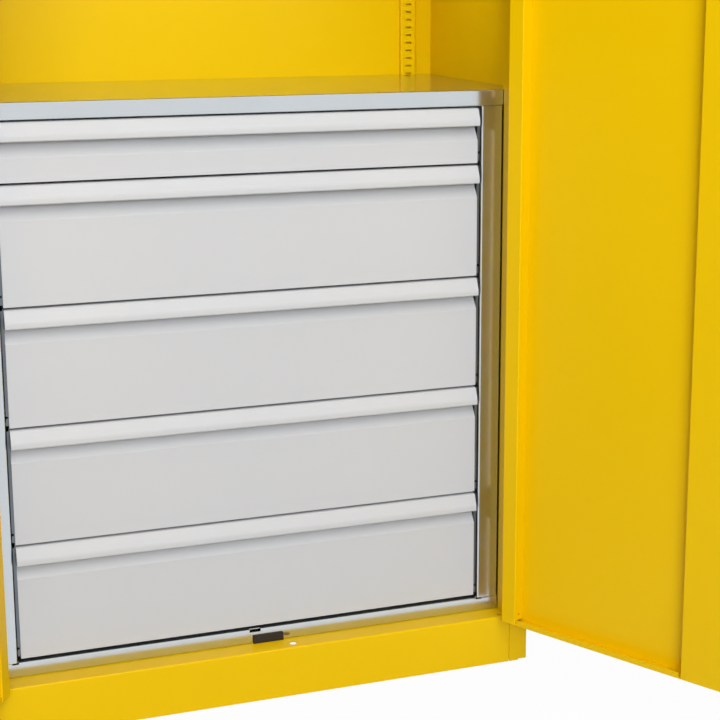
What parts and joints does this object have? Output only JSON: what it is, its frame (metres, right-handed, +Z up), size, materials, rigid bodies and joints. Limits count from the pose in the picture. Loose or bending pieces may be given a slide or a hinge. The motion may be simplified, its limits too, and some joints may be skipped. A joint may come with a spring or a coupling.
{
  "type": "heavy-duty drawer cabinet",
  "caption": "Tall steel cabinet with two swing doors, shelves above a block of full-width drawers on telescopic slides, and a lever handle with lock rods.",
  "frame": {"origin": "on the floor, at mid width, in the front plane of the carcass", "axes": "+X to the right seen from the front, +Y into the cabinet, +Z up"},
  "size_m": [1.3627, 0.9422, 1.95],
  "materials": {
    "yellow_paint": "satin powder coat",
    "grey_paint": "satin powder coat",
    "zinc_sheet": "zinc-plated, semi-bright",
    "slide_steel": "zinc-plated, dull",
    "lock_steel": "bright",
    "handle_coat": "matt, fine grain",
    "black_rubber": "matt"
  },
  "bodies": {
    "carcass": {"side_panel_left": "yellow_paint", "side_panel_right": "yellow_paint", "back_panel": "yellow_paint", "roof_panel": "yellow_paint", "floor_panel": "yellow_paint", "slotted_strip_front_left": "yellow_paint", "slotted_strip_front_right": "yellow_paint", "slotted_strip_rear_left": "yellow_paint", "slotted_strip_rear_right": "yellow_paint", "shelf_lower": "zinc_sheet", "shelf_upper": "zinc_sheet", "shelf_hooks": "zinc_sheet", "block_top": "zinc_sheet", "block_side_left": "zinc_sheet", "block_side_right": "zinc_sheet", "block_tray": "zinc_sheet", "stop_pad": "black_rubber", "frame_knuckles_left": "yellow_paint", "frame_knuckles_right": "yellow_paint", "outer_rails_1": "slide_steel", "outer_rails_2": "slide_steel", "outer_rails_3": "slide_steel", "outer_rails_4": "slide_steel", "outer_rails_5": "slide_steel"},
    "door_left": {"door_left": "yellow_paint", "closing_strip": "yellow_paint", "door_knuckles_left": "yellow_paint"},
    "door_right": {"door_right": "yellow_paint", "door_knuckles_right": "yellow_paint", "handle_plate": "handle_coat", "rod_guides": "handle_coat"},
    "handle": {"handle_lever": "handle_coat", "cam_disc": "slide_steel"},
    "lock_core": {"lock_core": "lock_steel"},
    "lock_rod_upper": {"lock_rod_upper": "slide_steel"},
    "lock_rod_lower": {"lock_rod_lower": "slide_steel"},
    "drawer_1": {"drawer_box_1": "grey_paint", "drawer_front_1": "grey_paint", "inner_rails_1": "slide_steel"},
    "slide_1": {"middle_rails_1": "slide_steel"},
    "drawer_2": {"drawer_box_2": "grey_paint", "drawer_front_2": "grey_paint", "inner_rails_2": "slide_steel"},
    "slide_2": {"middle_rails_2": "slide_steel"},
    "drawer_3": {"drawer_box_3": "grey_paint", "drawer_front_3": "grey_paint", "inner_rails_3": "slide_steel"},
    "slide_3": {"middle_rails_3": "slide_steel"},
    "drawer_4": {"drawer_box_4": "grey_paint", "drawer_front_4": "grey_paint", "inner_rails_4": "slide_steel"},
    "slide_4": {"middle_rails_4": "slide_steel"},
    "drawer_5": {"drawer_box_5": "grey_paint", "drawer_front_5": "grey_paint", "inner_rails_5": "slide_steel"},
    "slide_5": {"middle_rails_5": "slide_steel"}
  },
  "joints": [
    {"name": "door_right_hinge", "type": "hinge", "parent": "carcass", "child": "door_right", "pos_m": [0.4605, -0.0048, 0], "axis": [0, 0, 1], "range_deg": [-119, 61]},
    {"name": "door_left_hinge", "type": "hinge", "parent": "carcass", "child": "door_left", "pos_m": [-0.4605, -0.0048, 0], "axis": [0, 0, -1], "range_deg": [-119, 61]},
    {"name": "handle_turn", "type": "hinge", "parent": "door_right", "child": "handle", "pos_m": [0.6566, -0.35858, 1.04], "axis": [0.8746, 0.4848, 0], "range_deg": [-90, 0]},
    {"name": "key_turn", "type": "hinge", "parent": "handle", "child": "lock_core", "pos_m": [0.6566, -0.35858, 1.04], "axis": [0.8746, 0.4848, 0], "range_deg": [0, 90]},
    {"name": "upper_rod_slide", "type": "slide", "parent": "door_right", "child": "lock_rod_upper", "axis": [0, 0, 1], "range_m": [0, 0.01981]},
    {"name": "lower_rod_slide", "type": "slide", "parent": "door_right", "child": "lock_rod_lower", "axis": [0, 0, -1], "range_m": [0, 0.01981]},
    {"name": "drawer_1_slide", "type": "slide", "parent": "carcass", "child": "drawer_1", "axis": [0, -1, 0], "range_m": [0, 0.4]},
    {"name": "slide_1_run", "type": "slide", "parent": "carcass", "child": "slide_1", "axis": [0, -1, 0], "range_m": [0, 0.2]},
    {"name": "drawer_2_slide", "type": "slide", "parent": "carcass", "child": "drawer_2", "axis": [0, -1, 0], "range_m": [0, 0.4]},
    {"name": "slide_2_run", "type": "slide", "parent": "carcass", "child": "slide_2", "axis": [0, -1, 0], "range_m": [0, 0.2]},
    {"name": "drawer_3_slide", "type": "slide", "parent": "carcass", "child": "drawer_3", "axis": [0, -1, 0], "range_m": [0, 0.4]},
    {"name": "slide_3_run", "type": "slide", "parent": "carcass", "child": "slide_3", "axis": [0, -1, 0], "range_m": [0, 0.2]},
    {"name": "drawer_4_slide", "type": "slide", "parent": "carcass", "child": "drawer_4", "axis": [0, -1, 0], "range_m": [0, 0.4]},
    {"name": "slide_4_run", "type": "slide", "parent": "carcass", "child": "slide_4", "axis": [0, -1, 0], "range_m": [0, 0.2]},
    {"name": "drawer_5_slide", "type": "slide", "parent": "carcass", "child": "drawer_5", "axis": [0, -1, 0], "range_m": [0, 0.4]},
    {"name": "slide_5_run", "type": "slide", "parent": "carcass", "child": "slide_5", "axis": [0, -1, 0], "range_m": [0, 0.2]}
  ],
  "couplings": [
    {"joint": "upper_rod_slide", "follows": "handle_turn", "m_per_rad": -0.012604},
    {"joint": "lower_rod_slide", "follows": "handle_turn", "m_per_rad": -0.012604},
    {"joint": "slide_1_run", "follows": "drawer_1_slide", "ratio": 0.5},
    {"joint": "slide_2_run", "follows": "drawer_2_slide", "ratio": 0.5},
    {"joint": "slide_3_run", "follows": "drawer_3_slide", "ratio": 0.5},
    {"joint": "slide_4_run", "follows": "drawer_4_slide", "ratio": 0.5},
    {"joint": "slide_5_run", "follows": "drawer_5_slide", "ratio": 0.5}
  ]
}
